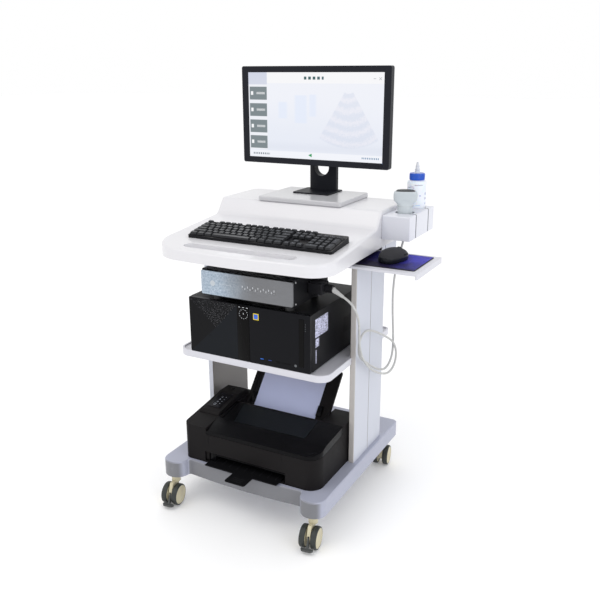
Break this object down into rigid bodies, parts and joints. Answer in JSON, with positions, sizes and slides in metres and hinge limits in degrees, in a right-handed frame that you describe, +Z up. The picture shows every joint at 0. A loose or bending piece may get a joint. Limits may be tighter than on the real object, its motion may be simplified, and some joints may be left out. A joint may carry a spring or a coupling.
{
  "type": "ultrasound machine",
  "caption": "Trolley ultrasound machine: console with keyboard and screen, probe and gel holders, scan engine, computer, printer and braked casters.",
  "frame": {"origin": "centre of the machine's footprint on the floor, without the loose cable", "axes": "+X to the right of the user who faces the screen, +Y to the rear, +Z up"},
  "size_m": [0.685, 0.6038, 1.2295],
  "materials": {
    "console_white": "soft gloss, fine grain",
    "console_underside": "matt",
    "tray_white": "satin powder coat",
    "column_white": "satin powder coat",
    "shelf_white": "satin",
    "base_grey": "fine grain, satin",
    "frame_black": "powder coat",
    "frame_alloy": "cast",
    "screw_steel": "zinc plated",
    "monitor_black": "fine grain",
    "screen": "glowing panel",
    "keyboard_black": "satin",
    "key_black": "satin",
    "pad_fabric": "woven",
    "mouse_shell": "gloss",
    "mouse_rubber": "ribbed",
    "probe_grey": "satin",
    "probe_lens": "smooth",
    "bottle_white": "satin",
    "cap_blue": "gloss",
    "engine_silver": "bead blasted",
    "case_black": "powder coat",
    "plug_black": "satin",
    "cable_grey": "smooth",
    "front_black": "gloss",
    "button_metal": "brushed",
    "foot_rubber": "matt",
    "printer_black": "fine grain",
    "printer_gloss": "gloss",
    "paper": "uncoated paper",
    "caster_beige": "satin",
    "caster_tyre": "satin",
    "pedal_grey": "satin"
  },
  "bodies": {
    "trolley": {"base_cover": "base_grey", "base_frame": "frame_alloy", "column_left": "column_white", "column_right": "column_white", "middle_shelf": "shelf_white", "frame_brackets": "frame_black", "frame_screws": "screw_steel", "rear_support": "column_white", "console_shell": "console_white", "console_cover": "console_underside", "monitor_platform": "console_white", "stand_base": "monitor_black", "stand_neck": "monitor_black", "keyboard_base": "keyboard_black", "tray_rails": "frame_black", "probe_holder": "console_white", "engine_chassis": "case_black", "engine_faceplate": "engine_silver", "probe_plug": "plug_black", "cable_relief": "cable_grey", "probe_cable": "cable_grey", "computer_case": "case_black", "computer_front": "front_black", "rubber_feet": "foot_rubber", "printer_base": "printer_black"},
    "monitor": {"monitor_head": "monitor_black", "monitor_back": "monitor_black", "monitor_bezel": "monitor_black", "monitor_panel": "screen"},
    "monitor_power_button": {"monitor_power": "monitor_black"},
    "monitor_menu_buttons": {"monitor_menu": "monitor_black"},
    "keys": {"keycaps": "key_black"},
    "space_key": {"space_bar": "key_black"},
    "computer_button": {"computer_power": "button_metal"},
    "drive": {"drive_tray": "front_black"},
    "tray": {"mouse_tray": "tray_white", "tray_pad": "pad_fabric"},
    "mouse": {"mouse_body": "mouse_shell"},
    "mouse_left": {"mouse_button_left": "mouse_shell"},
    "mouse_right": {"mouse_button_right": "mouse_shell"},
    "scroll_wheel": {"mouse_wheel": "mouse_rubber"},
    "probe": {"probe_body": "probe_grey", "probe_lens": "probe_lens"},
    "bottle": {"gel_bottle": "bottle_white"},
    "cap": {"bottle_cap": "cap_blue"},
    "scanner_lid": {"printer_cover": "printer_gloss"},
    "printer_button": {"printer_power": "printer_black"},
    "paper_tray": {"output_tray": "printer_black"},
    "paper_rest": {"paper_support": "printer_black", "paper_sheet": "paper"},
    "fork_front_left": {"caster_fork_front_left": "caster_beige"},
    "wheels_front_left": {"caster_wheels_front_left": "caster_tyre"},
    "pedal_front_left": {"brake_pedal_front_left": "pedal_grey"},
    "fork_rear_left": {"caster_fork_rear_left": "caster_beige"},
    "wheels_rear_left": {"caster_wheels_rear_left": "caster_tyre"},
    "fork_front_right": {"caster_fork_front_right": "caster_beige"},
    "wheels_front_right": {"caster_wheels_front_right": "caster_tyre"},
    "pedal_front_right": {"brake_pedal_front_right": "pedal_grey"},
    "fork_rear_right": {"caster_fork_rear_right": "caster_beige"},
    "wheels_rear_right": {"caster_wheels_rear_right": "caster_tyre"}
  },
  "joints": [
    {"name": "swivel_front_left", "type": "hinge", "parent": "trolley", "child": "fork_front_left", "pos_m": [-0.3085, -0.24113, 0.093], "axis": [0, 0, 1], "continuous": true},
    {"name": "roll_front_left", "type": "hinge", "parent": "fork_front_left", "child": "wheels_front_left", "pos_m": [-0.306, -0.25895, 0.0315], "axis": [0.9903, 0.1392, 0], "continuous": true},
    {"name": "brake_front_left", "type": "hinge", "parent": "fork_front_left", "child": "pedal_front_left", "pos_m": [-0.30405, -0.27281, 0.0355], "axis": [0.9903, 0.1392, 0], "range_deg": [0, 10]},
    {"name": "swivel_rear_left", "type": "hinge", "parent": "trolley", "child": "fork_rear_left", "pos_m": [-0.3085, 0.25987, 0.093], "axis": [0, 0, 1], "continuous": true},
    {"name": "roll_rear_left", "type": "hinge", "parent": "fork_rear_left", "child": "wheels_rear_left", "pos_m": [-0.306, 0.24205, 0.0315], "axis": [0.9903, 0.1392, 0], "continuous": true},
    {"name": "swivel_front_right", "type": "hinge", "parent": "trolley", "child": "fork_front_right", "pos_m": [0.1455, -0.24113, 0.093], "axis": [0, 0, 1], "continuous": true},
    {"name": "roll_front_right", "type": "hinge", "parent": "fork_front_right", "child": "wheels_front_right", "pos_m": [0.148, -0.25895, 0.0315], "axis": [0.9903, 0.1392, 0], "continuous": true},
    {"name": "brake_front_right", "type": "hinge", "parent": "fork_front_right", "child": "pedal_front_right", "pos_m": [0.14995, -0.27281, 0.0355], "axis": [0.9903, 0.1392, 0], "range_deg": [0, 10]},
    {"name": "swivel_rear_right", "type": "hinge", "parent": "trolley", "child": "fork_rear_right", "pos_m": [0.1455, 0.25987, 0.093], "axis": [0, 0, 1], "continuous": true},
    {"name": "roll_rear_right", "type": "hinge", "parent": "fork_rear_right", "child": "wheels_rear_right", "pos_m": [0.148, 0.24205, 0.0315], "axis": [0.9903, 0.1392, 0], "continuous": true},
    {"name": "monitor_tilt", "type": "hinge", "parent": "trolley", "child": "monitor", "pos_m": [-0.0815, 0.26187, 1.089], "axis": [1, 0, 0], "range_deg": [-20, 5]},
    {"name": "monitor_power_press", "type": "slide", "parent": "monitor", "child": "monitor_power_button", "axis": [0, 1, 0], "range_m": [0, 0.0008], "stiffness_N_per_m": 300, "springref_m": -0.0008},
    {"name": "monitor_menu_press", "type": "slide", "parent": "monitor", "child": "monitor_menu_buttons", "axis": [0, 1, 0], "range_m": [0, 0.0008], "stiffness_N_per_m": 300, "springref_m": -0.0008},
    {"name": "keys_press", "type": "slide", "parent": "trolley", "child": "keys", "axis": [0, 0.1683, -0.9857], "range_m": [0, 0.0025], "stiffness_N_per_m": 2000, "springref_m": -0.003},
    {"name": "space_press", "type": "slide", "parent": "trolley", "child": "space_key", "axis": [0, 0.1683, -0.9857], "range_m": [0, 0.0025], "stiffness_N_per_m": 200, "springref_m": -0.003},
    {"name": "computer_power_press", "type": "slide", "parent": "trolley", "child": "computer_button", "axis": [0, 1, 0], "range_m": [0, 0.002], "stiffness_N_per_m": 300, "springref_m": -0.001},
    {"name": "drive_eject", "type": "slide", "parent": "trolley", "child": "drive", "axis": [0, -1, 0], "range_m": [0, 0.06]},
    {"name": "tray_slide", "type": "slide", "parent": "trolley", "child": "tray", "axis": [1, 0, 0], "range_m": [-0.06, 0]},
    {"name": "mouse_glide", "type": "slide", "parent": "tray", "child": "mouse", "axis": [1, 0, 0], "range_m": [0, 0.06]},
    {"name": "mouse_click_left", "type": "hinge", "parent": "mouse", "child": "mouse_left", "pos_m": [0.22794, 0.05151, 0.7585], "axis": [0.9703, -0.2419, 0], "range_deg": [-1.2, 0], "stiffness_Nm_per_rad": 0.6, "springref_deg": 2.86},
    {"name": "mouse_click_right", "type": "hinge", "parent": "mouse", "child": "mouse_right", "pos_m": [0.25705, 0.04425, 0.7585], "axis": [0.9703, -0.2419, 0], "range_deg": [-1.2, 0], "stiffness_Nm_per_rad": 0.6, "springref_deg": 2.86},
    {"name": "scroll", "type": "hinge", "parent": "mouse", "child": "scroll_wheel", "pos_m": [0.24631, 0.06316, 0.7558], "axis": [0.9703, -0.2419, 0], "continuous": true},
    {"name": "probe_lift", "type": "slide", "parent": "trolley", "child": "probe", "axis": [0, 0, 1], "range_m": [0, 0.09]},
    {"name": "bottle_lift", "type": "slide", "parent": "trolley", "child": "bottle", "axis": [0, 0, 1], "range_m": [0, 0.09]},
    {"name": "cap_turn", "type": "hinge", "parent": "bottle", "child": "cap", "pos_m": [0.2195, 0.26187, 0.9183], "axis": [0, 0, 1], "continuous": true},
    {"name": "scanner_lid_open", "type": "hinge", "parent": "trolley", "child": "scanner_lid", "pos_m": [-0.0815, -0.05813, 0.264], "axis": [1, 0, 0], "range_deg": [-35, 0]},
    {"name": "printer_power_press", "type": "slide", "parent": "trolley", "child": "printer_button", "axis": [0, 0, -1], "range_m": [0, 0.001], "stiffness_N_per_m": 300, "springref_m": -0.001},
    {"name": "paper_tray_pull", "type": "slide", "parent": "trolley", "child": "paper_tray", "axis": [0, -1, 0], "range_m": [-0.03, 0.06]},
    {"name": "paper_rest_fold", "type": "hinge", "parent": "trolley", "child": "paper_rest", "pos_m": [-0.0815, -0.01913, 0.232], "axis": [1, 0, 0], "range_deg": [0, 15]}
  ],
  "couplings": [
    {"joint": "mouse_glide", "follows": "tray_slide", "ratio": -1}
  ]
}
